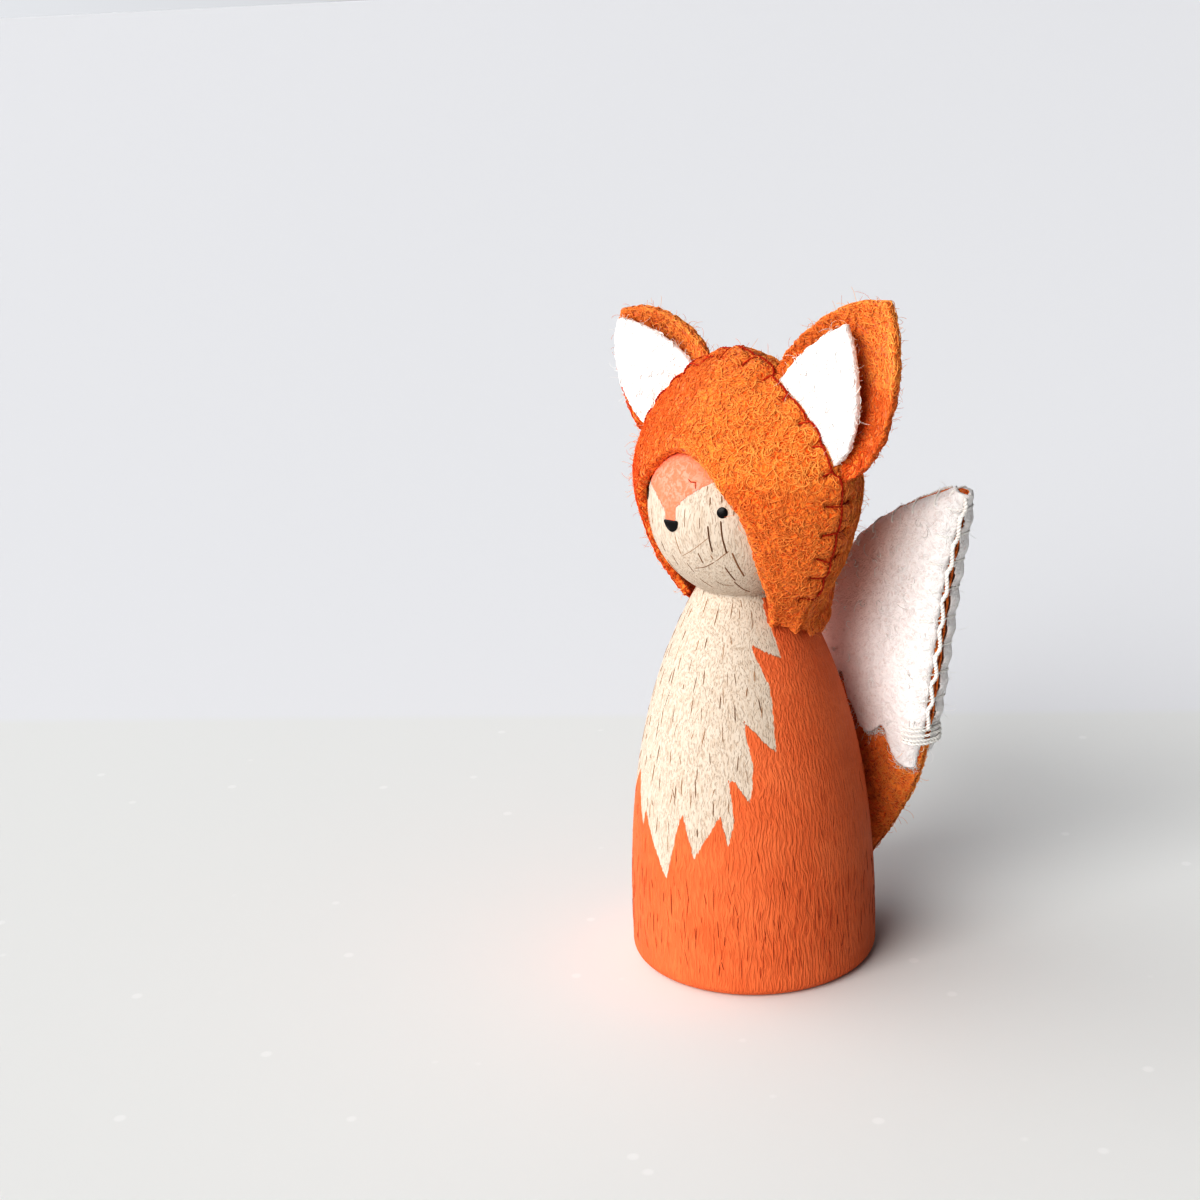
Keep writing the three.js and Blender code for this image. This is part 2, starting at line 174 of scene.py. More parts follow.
# Colours
BARE_BEECH = srgb(209, 195, 180)
BEECH_SHADE = srgb(176, 148, 122)
ORANGE_PAINT = srgb(218, 112, 64)
PAINT_THIN = srgb(236, 134, 84)
PAINT_FURROW_SHADE = srgb(190, 78, 38)
FACE_PAINT = srgb(243, 128, 96)
FACE_PAINT_DRY = srgb(244, 160, 140)
BLACK_PAINT = srgb(11, 9, 10)
BLACK_PAINT_WORN = srgb(20, 16, 16)
ORANGE_FELT_SHADES = srgb(160, 40, 8), srgb(228, 96, 28), srgb(253, 158, 76)
WHITE_FELT_SHADES = srgb(222, 202, 195), srgb(240, 236, 235), srgb(250, 248, 247)
PAINTED_SHADE_TINT = srgb(236, 172, 152)

# Painted shade on the tail's white felt beside the hood, pink from the orange felt's light: the slope of
# the tint's edge, its reach aside and the height below which it lies
SHADE_TINT_SLOPE = (0.93, -0.36)
SHADE_TINT_FROM = (-6 * MM, -17 * MM)
SHADE_TINT_BELOW = (72 * MM, 66 * MM)

TABLE_GREY = srgb(231, 232, 231)
TABLE_SPECK = srgb(250, 250, 250)
WALL_GREY = srgb(232, 233, 236)

# How fine the peg's patterns are across and along the grain, and the felt's as (fineness, width of a fibre)
GRAIN = (3000, 3000, 330)
FINE_GRAIN = (5200, 5200, 1100)
RINGS = (190, 620, 26)
RINGS_TURN = (0.06, 0.1, 0.35)
RIDGES = (3000, 3000, 420)
PEG_RELIEF = 0.13 * MM
FELT_CURLS = ((900, 0.07), (1400, 0.09), (2100, 0.11))


def peg_finish():
    """Bare turned beech with thin matt paint over raised grain, parted by the piece's paint_edge values."""
    s = Shader("painted_beech")
    bent = s.add("VectorMath", {0: s.noise(260, detail=1), "Scale": 0.9 * MM}, operation="SCALE").outputs[0]
    way = s.add("VectorMath", {0: s.place, 1: bent}, operation="ADD").outputs[0]
    grain = s.noise(1.0, detail=3, roughness=0.62, vector=s.stretched(GRAIN, place=way))
    fine_grain = s.noise(1.0, detail=2, vector=s.stretched(FINE_GRAIN, place=way))
    rings = s.noise(1.0, detail=2, distortion=0.4, vector=s.stretched(RINGS, RINGS_TURN))
    ring_lines = s.ramp(s.math("PINGPONG", s.math("MULTIPLY", rings, 9), 0.5), 0.1, 0.5)

    marks = s.ramp(fine_grain, 0.5, 0.7)
    wood = s.mix(s.math("MULTIPLY", s.ramp(grain, 0.45, 0.7), 0.35), BARE_BEECH, BEECH_SHADE)
    wood = s.mix(s.math("MULTIPLY", marks, 0.42), wood, BEECH_SHADE)
    wood = s.mix(s.math("MULTIPLY", ring_lines, 0.16), wood, BEECH_SHADE)

    ridges = s.noise(1.0, detail=2, roughness=0.6, vector=s.stretched(RIDGES, place=way))
    ridges = s.ramp(ridges, 0.34, 0.66)
    cover = s.noise(140, detail=2)
    paint = s.mix(s.math("MULTIPLY", s.ramp(cover, 0.35, 0.7), 0.35), ORANGE_PAINT, PAINT_THIN)
    # Painted shade in the low furrows between the raised ridges
    paint = s.mix(s.ramp(ridges, 0.0, 1.0, 0.25, 0.0), paint, PAINT_FURROW_SHADE)
    height = s.add("SeparateXYZ", {"Vector": s.place}).outputs["Z"]
    on_head = s.ramp(height, NECK_HEIGHT, NECK_HEIGHT + 0.3 * MM)
    wrinkles = s.noise(1500, detail=3, distortion=1.2)
    dry = s.math("MULTIPLY", s.ramp(wrinkles, 0.42, 0.6), s.ramp(s.noise(110, detail=1), 0.38, 0.6))
    paint = s.mix(on_head, paint, s.mix(s.math("MULTIPLY", dry, 0.8), FACE_PAINT, FACE_PAINT_DRY))

    wander = s.math("MULTIPLY", s.math("SUBTRACT", grain, 0.5), 0.7 * MM)
    painted = s.ramp(s.math("ADD", s.attribute("paint_edge"), wander), -0.05 * MM, 0.05 * MM)
    s.set(Base_Color=s.mix(painted, wood, paint))
    s.set(Roughness=s.ramp(grain, 0.2, 0.8, 0.55, 0.75), Specular_IOR_Level=0.3)
    bare = s.math("ADD", s.math("MULTIPLY", marks, -0.55), s.math("MULTIPLY", grain, -0.4))
    relief = {2: s.math("MULTIPLY", ridges, 0.75), 3: s.math("MULTIPLY", wrinkles, 1.1)}
    coated = s.add("Mix", {0: on_head, **relief}).outputs[0]
    s.bump(s.add("Mix", {0: painted, 2: bare, 3: coated}).outputs[0], PEG_RELIEF)
    return s.material


def gloss_finish():
    """Thick glossy black paint, for the nose and the eyes."""
    s = Shader("black_gloss_paint")
    s.set(Base_Color=s.mix(s.noise(2500), BLACK_PAINT, BLACK_PAINT_WORN))
    s.set(Roughness=s.ramp(s.noise(1800), 0.3, 0.7, 0.16, 0.3), Specular_IOR_Level=0.22)
    s.bump(s.noise(1500), 0.03 * MM, 0.4)
    return s.material


def felt_finish(name, deep, body, bright, relief, pitted, shade_tint=None):
    """Pressed wool: curled fibres show as bright wandering lines over a softer, darker ground, with painted
    shade in its pits and in the dents that stitches press. Where shade_tint is given, the tail has that
    tint beside the hood as painted shade."""
    s = Shader(name)
    drift = s.add("TexNoise", {"Vector": s.place, "Scale": 600.0, "Detail": 1.0}).outputs["Color"]
    centred = s.add("VectorMath", {0: drift, 1: (0.5, 0.5, 0.5)}, operation="SUBTRACT").outputs[0]
    swirl = s.add("VectorMath", {0: centred, "Scale": 1.4 * MM}, operation="SCALE").outputs[0]
    bent = s.add("VectorMath", {0: s.place, 1: swirl}, operation="ADD").outputs[0]
    strands = None
    for scale, width in FELT_CURLS:
        wave = s.math("SUBTRACT", s.noise(scale, detail=0.6, vector=bent), 0.5)
        line = s.ramp(s.math("ABSOLUTE", wave), 0.0, width, 1.0, 0.0)
        strands = line if strands is None else s.math("MAXIMUM", strands, line)
    pores = s.ramp(s.noise(1500, detail=2, vector=bent), 0.34, 0.52, 1.0, 0.0)
    clouds = s.ramp(s.noise(160, detail=3), 0.3, 0.7)
    colour = s.mix(s.math("MULTIPLY", clouds, 0.3), body, bright)
    # Painted shade in the pits between the fibres
    colour = s.mix(s.math("MULTIPLY", pores, pitted), colour, deep)
    colour = s.mix(s.math("MULTIPLY", strands, 0.8), colour, bright)
    # Painted shade in the dents that the stitches press into the felt
    colour = s.mix(s.ramp(s.attribute("pressed_shade"), 0.2, 0.8, 0.0, 0.85), colour, deep)
    # Painted shade, pinkish, on the tail's white felt beside the hood
    if shade_tint:
        aside = s.add("SeparateXYZ", {"Vector": s.place}).outputs
        across = s.math("MULTIPLY", aside["X"], SHADE_TINT_SLOPE[0])
        upward = s.math("MULTIPLY", aside["Z"], SHADE_TINT_SLOPE[1])
        on_tail = s.ramp(aside["Z"], *SHADE_TINT_BELOW)
        shade_beside_hood = s.ramp(s.math("ADD", across, upward), *SHADE_TINT_FROM, 0.0, 0.6)
        colour = s.mix(s.math("MULTIPLY", shade_beside_hood, on_tail), colour, shade_tint)
    s.set(Base_Color=colour, Roughness=0.95, Specular_IOR_Level=0.12, Sheen_Weight=0.2, Sheen_Roughness=0.5)
    heap = s.math("ADD", s.math("MULTIPLY", strands, 0.6), s.math("MULTIPLY", pores, -pitted))
    s.bump(s.math("ADD", heap, s.math("MULTIPLY", clouds, 0.4)), relief, 0.9)
    return s.material


def strand_finish(name, dark, light):
    """Single wool fibres and sewing thread: each strand has its own shade."""
    s = Shader(name)
    s.set(Base_Color=s.mix(s.attribute("shade"), dark, light), Roughness=0.8, Specular_IOR_Level=0.25)
    s.bump(s.noise(9000, 1), 0.02 * MM, 0.5)
    return s.material


painted_beech = peg_finish()
black_gloss = gloss_finish()
orange_felt = felt_finish("orange_felt", *ORANGE_FELT_SHADES, 0.22 * MM, 0.55)
white_felt = felt_finish("white_felt", *WHITE_FELT_SHADES, 0.1 * MM, 0.36, PAINTED_SHADE_TINT)
orange_wool = strand_finish("orange_wool", srgb(214, 70, 14), srgb(255, 178, 98))
white_wool = strand_finish("white_wool", srgb(242, 239, 236), srgb(255, 254, 252))
seam_thread = strand_finish("seam_thread", srgb(142, 30, 12), srgb(200, 62, 28))
white_thread = strand_finish("white_thread", srgb(240, 237, 232), srgb(255, 254, 251))
grain_line = strand_finish("grain_line", srgb(92, 62, 40), srgb(160, 120, 88))
paint_crack_shade = strand_finish("paint_crack_shade", srgb(112, 34, 16), srgb(168, 64, 32))


def finished(obj, body, material):
    """A new piece of the doll: in its finish, and riding on its body."""
    obj.data.materials.clear()
    obj.data.materials.append(material)
    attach(obj, body)
    return obj


def object_of(name, mesh):
    obj = bpy.data.objects.new(name, mesh)
    scene.collection.objects.link(obj)
    return obj


def settle(obj):
    """Turns a curve, or a mesh with live modifiers, into a plain mesh object of the same name."""
    bpy.context.view_layer.update()
    evaluated = obj.evaluated_get(bpy.context.evaluated_depsgraph_get())
    mesh = bpy.data.meshes.new_from_object(evaluated)
    name = obj.name
    bpy.data.objects.remove(obj)
    mesh.name = name
    return object_of(name, mesh)


def mesh_of(name, bm):
    """The mesh of what was modelled with bmesh."""
    mesh = bpy.data.meshes.new(name)
    bm.to_mesh(mesh)
    bm.free()
    return mesh


def weld(mesh, reach=WELD):
    """Joins the corners of a mesh that lie in one place."""
    bm = bmesh.new()
    bm.from_mesh(mesh)
    bmesh.ops.remove_doubles(bm, verts=bm.verts, dist=reach)
    bm.to_mesh(mesh)
    bm.free()


def vertex_places(mesh):
    places = np.empty(len(mesh.vertices) * 3)
    mesh.vertices.foreach_get("co", places)
    return places.reshape(-1, 3)


def on_ball(turn, rise, distance=HEAD_RADIUS):
    """A point so many degrees towards the doll's left and so many up, seen from the head's middle."""
    a, e = math.radians(turn), math.radians(rise)
    way = Vector((math.sin(a) * math.cos(e), -math.cos(a) * math.cos(e), math.sin(e)))
    return HEAD_CENTRE + way * distance


# The peg
def body_radius(z):
    """Radius of the bell at a height, full at the foot and drawn in to the neck."""
    drop = 1 - (NECK_RADIUS / BASE_RADIUS) ** BELL_FULLNESS
    top = NECK_HEIGHT / drop ** (1 / BELL_POWER)
    return BASE_RADIUS * (1 - (z / top) ** BELL_POWER) ** (1 / BELL_FULLNESS)


def peg_outline():
    """Radius and height of each step of the turning, from the middle of the foot to the top of the ball."""
    outline = [(0, 0)]
    for i in range(FOOT_STEPS + 1):
        turn = i / FOOT_STEPS * math.pi / 2
        z = FOOT_ROUND * (1 - math.cos(turn))
        outline.append((body_radius(z) - FOOT_ROUND * (1 - math.sin(turn)), z))
    for i in range(1, BELL_STEPS + 1):
        z = FOOT_ROUND + i / BELL_STEPS * (NECK_HEIGHT - FOOT_ROUND)
        outline.append((body_radius(z), z))
    chin = math.asin((NECK_HEIGHT - HEAD_CENTRE.z) / HEAD_RADIUS)
    for i in range(1, BALL_STEPS):
        rise = chin + i / BALL_STEPS * (math.pi / 2 - chin)
        outline.append((HEAD_RADIUS * math.cos(rise), HEAD_CENTRE.z + HEAD_RADIUS * math.sin(rise)))
    outline.append((0, HEAD_CENTRE.z + HEAD_RADIUS))
    return outline


def edge_distance(across, up, corners_across, corners_up):
    """Distance of each point from an outline, less than nothing inside it.
    The corners' places across may differ from point to point."""
    nearest = np.full(len(up), 1.0)
    inside = np.zeros(len(up), bool)
    for i in range(corners_across.shape[1]):
        x0, y0 = corners_across[:, i - 1], corners_up[i - 1]
        x1, y1 = corners_across[:, i], corners_up[i]
        dx, dy = x1 - x0, y1 - y0
        length = np.maximum(dx**2 + dy**2, 1e-18)
        share = np.clip(((across - x0) * dx + (up - y0) * dy) / length, 0, 1)
        nearest = np.minimum(nearest, np.hypot(across - x0 - share * dx, up - y0 - share * dy))
        crosses = (y0 > up) != (y1 > up)
        if y0 != y1:
            inside ^= crosses & (across < x0 + (up - y0) / dy * dx)
    return np.where(inside, -nearest, nearest)


def corners_around(corners, radius):
    """How far round the peg each corner of an outline lies, at each point's own radius."""
    return np.radians([c[0] for c in corners])[None, :] * radius[:, None]


def paint_edges(places):
    """Metres from the nearest edge of the paint: more than nothing where the peg is painted."""
    turn = np.arctan2(places[:, 0], -places[:, 1])
    radius = np.hypot(places[:, 0], places[:, 1])
    heights = np.array([c[1] for c in BIB]) * MM
    body = edge_distance(turn * radius, places[:, 2], corners_around(BIB, radius), heights)
    over = places - np.array(HEAD_CENTRE)
    rise = np.arcsin(np.clip(over[:, 2] / np.maximum(np.linalg.norm(over, axis=1), 1e-9), -1, 1))
    rises = np.radians([c[1] for c in BLAZE]) * HEAD_RADIUS
    face = -edge_distance(turn * radius, rise * HEAD_RADIUS, corners_around(BLAZE, radius), rises)
    return np.where(places[:, 2] > NECK_HEIGHT, face, body)


def make_peg():
    bm = bmesh.new()
    ring = [bm.verts.new((r, 0, z)) for r, z in peg_outline()]
    edges = [bm.edges.new(pair) for pair in zip(ring, ring[1:])]
    about_z = {"cent": (0, 0, 0), "axis": (0, 0, 1), "dvec": (0, 0, 0)}
    bmesh.ops.spin(bm, geom=ring + edges, angle=2 * math.pi, steps=PEG_SIDES, use_merge=True, **about_z)
    bmesh.ops.remove_doubles(bm, verts=bm.verts, dist=WELD)
    bmesh.ops.recalc_face_normals(bm, faces=bm.faces)
    mesh = mesh_of("peg", bm)
    mesh.shade_smooth()
    edge = mesh.attributes.new("paint_edge", "FLOAT", "POINT")
    edge.data.foreach_set("value", paint_edges(vertex_places(mesh)).astype(np.float32))
    peg = finished(object_of("peg", mesh), "peg", painted_beech)
    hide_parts("peg_body")


def add_black_paint(name, bm):
    """A drop of black paint that rides on the peg."""
    mesh = mesh_of(name, bm)
    mesh.shade_smooth()
    finished(object_of(name, mesh), "peg", black_gloss)


def make_eye(side, place):
    """A drop of black paint, flat on the wood and round above it."""
    bm = bmesh.new()
    bmesh.ops.create_uvsphere(bm, u_segments=32, v_segments=16, radius=EYE_RADIUS)
    bmesh.ops.scale(bm, verts=bm.verts, vec=(1, 1, EYE_STAND / EYE_RADIUS))
    middle = on_ball(*place)
    turn = (middle - HEAD_CENTRE).to_track_quat("Z", "Y").to_matrix().to_4x4()
    bmesh.ops.transform(bm, verts=bm.verts, matrix=Matrix.Translation(middle) @ turn)
    add_black_paint("eye_" + side, bm)


def make_nose():
    """A rounded triangle of black paint that lies on the ball."""
    bm = bmesh.new()
    corners = [bm.verts.new(on_ball(*c, HEAD_RADIUS + NOSE_STAND)) for c in NOSE_CORNERS]
    bm.faces.new(corners)
    rounding = {"affect": "VERTICES", "offset": NOSE_ROUND, "segments": 5, "profile": 0.5, "material": -1}
    bmesh.ops.bevel(bm, geom=list(bm.verts), **rounding)
    bmesh.ops.triangulate(bm, faces=list(bm.faces))
    bmesh.ops.subdivide_edges(bm, edges=list(bm.edges), cuts=3, use_grid_fill=True)
    pushed = bmesh.ops.extrude_face_region(bm, geom=list(bm.faces))["geom"]
    under = {g for g in pushed if isinstance(g, bmesh.types.BMVert)}
    for vert in bm.verts:
        stand = -NOSE_STAND if vert in under else NOSE_STAND
        vert.co = HEAD_CENTRE + (vert.co - HEAD_CENTRE).normalized() * (HEAD_RADIUS + stand)
    bmesh.ops.recalc_face_normals(bm, faces=bm.faces)
    add_black_paint("nose", bm)


# Felt
NEEDLE_DEPTH = 0.75 * MM
HOOD_UNEVENNESS = 0.12 * MM
TAIL_UNEVENNESS = 0.06 * MM
LUMP_SIZE = 2.2 * MM


class Felt:
    """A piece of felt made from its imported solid: its cut edges are rounded and its faces are uneven."""

    def __init__(self, name, node, voxel, passes, body, slot_name, material, unevenness=HOOD_UNEVENNESS):
        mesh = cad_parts[node].data.copy()
        weld(mesh, 2 * WELD)
        shell = object_of(name, mesh)
        remesh = shell.modifiers.new("even_faces", "REMESH")
        remesh.mode = "VOXEL"
        remesh.voxel_size = voxel
        remesh.use_smooth_shade = True
        soften = shell.modifiers.new("soft_edges", "SMOOTH")
        soften.factor = 0.5
        soften.iterations = passes
        lumps = bpy.data.textures.new(name + "_lumps", "CLOUDS")
        lumps.noise_scale = LUMP_SIZE
        uneven = shell.modifiers.new("uneven", "DISPLACE")
        uneven.texture = lumps
        uneven.texture_coords = "LOCAL"
        uneven.strength = unevenness
        self.piece = finished(settle(shell), body, material)
        self.body = body
        self.slot_name = slot_name
        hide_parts(node)

    def press(self, places, radius, depth):
        """Pushes the felt in at each place, as a stitch does, and paints shade into each dent."""
        mesh = self.piece.data
        points = vertex_places(mesh)
        normals = np.array([v.normal for v in mesh.vertices])
        shade = mesh.attributes.get("pressed_shade") or mesh.attributes.new("pressed_shade", "FLOAT", "POINT")
        dark = np.zeros(len(points))
        shade.data.foreach_get("value", dark)
        for place in places:
            near = np.exp(-np.sum((points - np.array(place)) ** 2, axis=1) / (2 * radius**2))
            points -= normals * (depth * near)[:, None]
            dark = np.maximum(dark, near * min(max(depth / NEEDLE_DEPTH, 0), 1))
        mesh.attributes["pressed_shade"].data.foreach_set("value", dark.astype(np.float32))
        mesh.vertices.foreach_set("co", points.ravel())
        mesh.update()

    def move(self, shift):
        """Moves every point of the felt by what shift gives for all the points together."""
        mesh = self.piece.data
        points = vertex_places(mesh)
        mesh.vertices.foreach_set("co", (points + shift(points)).ravel())
        mesh.update()

    def tree(self):
        mesh = self.piece.data
        return BVHTree.FromPolygons([v.co for v in mesh.vertices], [p.vertices for p in mesh.polygons])


STRAND_END = 0.0001
STRAND_GAP = 0.03 * MM


def parted(line):
    """The line without any point that lies on the one before it."""
    kept = [line[0]]
    for place in line[1:]:
        if (place - kept[-1]).length > STRAND_GAP:
            kept.append(place)
    return kept


def tube_outline(sides):
    """The closed outline of a tube, one metre in radius."""
    outline = bpy.data.curves.new("strand_outline", "CURVE")
    outline.splines.new("POLY").points.add(sides - 1)
    turns = [-2 * math.pi * i / sides for i in range(sides)]
    corners = [x for a in turns for x in (math.cos(a), math.sin(a), 0.0, 1.0)]
    outline.splines[0].points.foreach_set("co", corners)
    outline.splines[0].use_cyclic_u = True
    return object_of("strand_outline", outline)


def strand_piece(name, strands, sides, body, material, seed):
    """Tubes along [line of points, width] pairs, as one mesh in which every strand has its own shade."""
    strands = [(parted(line), width) for line, width in strands]
    strands = [(line, width) for line, width in strands if len(line) > 2]
    section = tube_outline(sides)
    curve = bpy.data.curves.new(name, "CURVE")
    curve.dimensions = "3D"
    curve.bevel_mode = "OBJECT"
    curve.bevel_object = section
    for line, width in strands:
        spline = curve.splines.new("POLY")
        spline.points.add(len(line) - 1)
        spline.points.foreach_set("co", [x for p in line for x in (*p, 1.0)])
        widths = [STRAND_END, *[1.0] * (len(line) - 2), STRAND_END]
        spline.points.foreach_set("radius", [width / 2 * w for w in widths])
    obj = settle(object_of(name, curve))
    bpy.data.objects.remove(section)
    pick = random.Random(seed)
    shades = np.repeat([pick.random() for _ in strands], [len(line) * sides for line, _ in strands])
    shade = obj.data.attributes.new("shade", "FLOAT", "POINT")
    shade.data.foreach_set("value", shades.astype(np.float32))
    weld(obj.data)
    obj.data.shade_smooth()
    return finished(obj, body, material)


# Loose fibres of the felt: widths, where they grow, and the lengths and lift in mm of those that lie
FIBRE = 0.13 * MM
STRAY = 0.04 * MM
WISP = 0.08 * MM
WISPS_BELOW = 40 * MM
BARE_BELOW = 30 * MM
LYING_LENGTHS = (1.2, 2.8)
LYING_LIFT = 0.17
FIBRE_STEPS = 8
FIBRE_SIDES = 3


def fibre_line(tree, start, normal, length, lift, curl, pick):
    """One curled fibre that follows the felt and arches off it by lift."""
    way = normal.orthogonal().normalized()
    way.rotate(Matrix.Rotation(pick.uniform(0, 2 * math.pi), 3, normal))
    bend = pick.uniform(-curl, curl)
    place, line = start.copy(), []
    for i in range(FIBRE_STEPS):
        share = i / (FIBRE_STEPS - 1)
        line.append(place + normal * (FIBRE * 0.3 + lift * math.sin(math.pi * share * 0.85)))
        found, facing, _, _ = tree.find_nearest(place + way * length / (FIBRE_STEPS - 1))
        place, normal = found, facing
        way.rotate(Matrix.Rotation(bend, 3, normal))
        way = (way - normal * way.dot(normal)).normalized()
    return line


def stray_line(start, normal, length, curl, pick):
    """One loose fibre that stands off the felt."""
    aside = Vector([pick.gauss(0, 1) for _ in range(3)]).normalized()
    way = (normal + aside * 0.9).normalized()
    bend_about = Vector([pick.gauss(0, 1) for _ in range(3)]).normalized()
    place, line = start.copy(), []
    for _ in range(FIBRE_STEPS):
        line.append(place.copy())
        place += way * length / (FIBRE_STEPS - 1)
        way.rotate(Matrix.Rotation(pick.uniform(0.2, 1) * curl, 3, bend_about))
    return line


def wisp_lines(felt, under, count, pick):
    """Long loose fibres that hang from the lower cut edge of a felt over the felt under it."""
    ground = under.tree()
    edge = [p for p in felt.piece.data.polygons if p.center.z < WISPS_BELOW and p.normal.z < -0.55]
    strands = []
    for face in pick.choices(edge, k=count):
        place, line = face.center.copy(), []
        way = Vector((pick.gauss(0, 0.8), 0, -1)).normalized()
        bend = pick.uniform(-0.5, 0.5)
        step = pick.uniform(1.0, 3.4) * MM / FIBRE_STEPS
        for _ in range(FIBRE_STEPS):
            found, facing, _, _ = ground.find_nearest(place)
            line.append(place if len(line) < 2 else found + facing * 0.1 * MM)
            way.rotate(Matrix.Rotation(bend, 3, facing))
            place = line[-1] + way * step
        strands.append((line, WISP))
    return strands


def wool_on(felt, lying, straying, material, seed, shows=None, wisps=None):
    """The loose surface of a felt piece: lying curls and strays, one piece with the felt."""
    pick = random.Random(seed)
    mesh = felt.piece.data
    tree = felt.tree()
    faces = [p for p in mesh.polygons if shows is None or shows(p.center, p.normal)]
    strands = wisp_lines(felt, *wisps, pick) if wisps else []
    for face in pick.choices(faces, k=lying):
        length = pick.uniform(*LYING_LENGTHS) * MM
        lift = pick.uniform(0.0, LYING_LIFT) * MM
        line = fibre_line(tree, face.center.copy(), face.normal.copy(), length, lift, 0.95, pick)
        strands.append((line, FIBRE * pick.uniform(0.7, 1.15)))
    for face in pick.choices(faces, k=straying):
        length = (0.6 + 2.0 * pick.random() ** 3) * MM
        strands.append((stray_line(face.center.copy(), face.normal.copy(), length, 0.5, pick), STRAY))
    name = felt.piece.name + "_wool"
    return strand_piece(name, strands, FIBRE_SIDES, felt.body, material, seed)


def outside_hood(place, normal):
    """True for a face of the hood that doesn't lie against the head."""
    return normal.dot((place - HEAD_CENTRE).normalized()) > -0.2


def below_tip(place, normal):
    """True for a face of the tail that the white tip leaves bare."""
    return place.z < BARE_BELOW


make_peg()
for side, place in EYE_PLACES.items():
    make_eye(side, place)
make_nose()

hood_front = Felt("hood_front", "hood_front_panel", 0.28 * MM, 5, "hood", "orange_felt", orange_felt)
hood_back = Felt("hood_back", "hood_back_panel", 0.28 * MM, 5, "hood", "orange_felt", orange_felt)
outer_ears = {}
inner_ears = {}
for side in ("left", "right"):
    node = f"ear_{side}_"
    outer_ears[side] = Felt(node + "back", node + "outer", 0.22 * MM, 6, "hood", "orange_felt", orange_felt)
    inner_ears[side] = Felt(node + "lining", node + "inner", 0.2 * MM, 6, "hood", "white_felt", white_felt)


def tail_layer(name, node, voxel, passes, slot_name, material):
    """One layer of the tail: its faces are smoother than the hood's."""
    return Felt(name, node, voxel, passes, "peg", slot_name, material, TAIL_UNEVENNESS)


tail_front = tail_layer("tail_front", "tail_front_felt", 0.25 * MM, 3, "orange_felt", orange_felt)
tail_back = tail_layer("tail_back", "tail_back_felt", 0.25 * MM, 3, "orange_felt", orange_felt)
tip_front = tail_layer("tip_front", "tail_tip_front", 0.22 * MM, 4, "white_felt", white_felt)
tip_back = tail_layer("tip_back", "tail_tip_back", 0.22 * MM, 4, "white_felt", white_felt)
stuffing = tail_layer("tail_wadding", "tail_stuffing", 0.35 * MM, 3, "stuffing", white_felt)

# The felt round the face lies against the ball
EDGE_GAP = 0.46 * MM
EDGE_REACH = 1.5 * MM
EDGE_LOWEST = HEAD_CENTRE.z - 8 * MM
HOOD_INSIDE = HEAD_RADIUS + 0.5 * MM


def towards_face(points):
    """A shift towards the ball for what lies nearest to it."""
    away = points - np.array(HEAD_CENTRE)
    distance = np.linalg.norm(away, axis=1)
    share = np.exp(-(((distance - HOOD_INSIDE) / EDGE_REACH) ** 2)) * (points[:, 2] > EDGE_LOWEST)
    return -away / distance[:, None] * (EDGE_GAP * share)[:, None]


# Hem of the hood: its waves as [height in mm, pace, start] along its run in mm, and its longest corner
HEM_HEIGHT = 50.6 * MM
HEM_REACH = 2.6 * MM
HEM_RADIUS = 15
HEM_WAVES = ((0.35, 1.3, 0.6), (0.2, 2.7, 0), (0.1, 5.5, 1))
FLAP_CORNER = math.radians(112) * HEM_RADIUS
FLAP_CORNER_SPAN = 8.5
FLAP_CORNER_DROP = 1.5


def ragged(points):
    """A shift of the hem up and down by a few tenths of a millimetre, and down at its longest corner."""
    run = np.arctan2(points[:, 0], -points[:, 1]) * HEM_RADIUS
    wave = sum(height * np.sin(run * pace + start) for height, pace, start in HEM_WAVES)
    wave -= FLAP_CORNER_DROP * np.exp(-(((run - FLAP_CORNER) / FLAP_CORNER_SPAN) ** 2))
    near = np.exp(-(((points[:, 2] - HEM_HEIGHT) / HEM_REACH) ** 2))
    shift = np.zeros_like(points)
    shift[:, 2] = wave * near * MM
    return shift


hood_front.move(towards_face)
hood_front.move(ragged)
hood_back.move(ragged)

EAR_SUNK = 0.75 * MM
EAR_REACH = 1.5 * MM


def rooted(points):
    """A shift that sinks the lower edge of an ear into the hood's seam."""
    trees = [hood_front.tree(), hood_back.tree()]
    gaps = np.array([min(tree.find_nearest(Vector(place))[3] for tree in trees) for place in points])
    inward = np.array(HEAD_CENTRE) - points
    inward /= np.linalg.norm(inward, axis=1)[:, None]
    return inward * (EAR_SUNK * np.exp(-((gaps / EAR_REACH) ** 2)))[:, None]


ears = (*outer_ears.values(), *inner_ears.values())
for ear in ears:
    ear.move(rooted)

# Sewing
SEAM_THREAD = 0.31 * MM
TAIL_THREAD = 0.44 * MM
STITCH_PITCH = 4.15 * MM
PLY_TURN = 1.1 * MM
PLY_STAND = 0.24
PLY_SHARE = 0.56
THREAD_SIDES = 6


def plies(line, thickness, turn=PLY_TURN):
    """The two twisted plies of a thread that runs along a line of points."""
    around = [[], []]
    run = 0.0
    for i, place in enumerate(line):
        ahead = line[min(i + 1, len(line) - 1)] - line[max(i - 1, 0)]
        run += (place - line[max(i - 1, 0)]).length
        side = ahead.cross(Vector((0.31, 0.11, 0.94))).normalized()
        side.rotate(Matrix.Rotation(run / turn * 2 * math.pi, 3, ahead))
        around[0].append(place + side * thickness * PLY_STAND)
        around[1].append(place - side * thickness * PLY_STAND)
    return [(ply, thickness * PLY_SHARE) for ply in around]


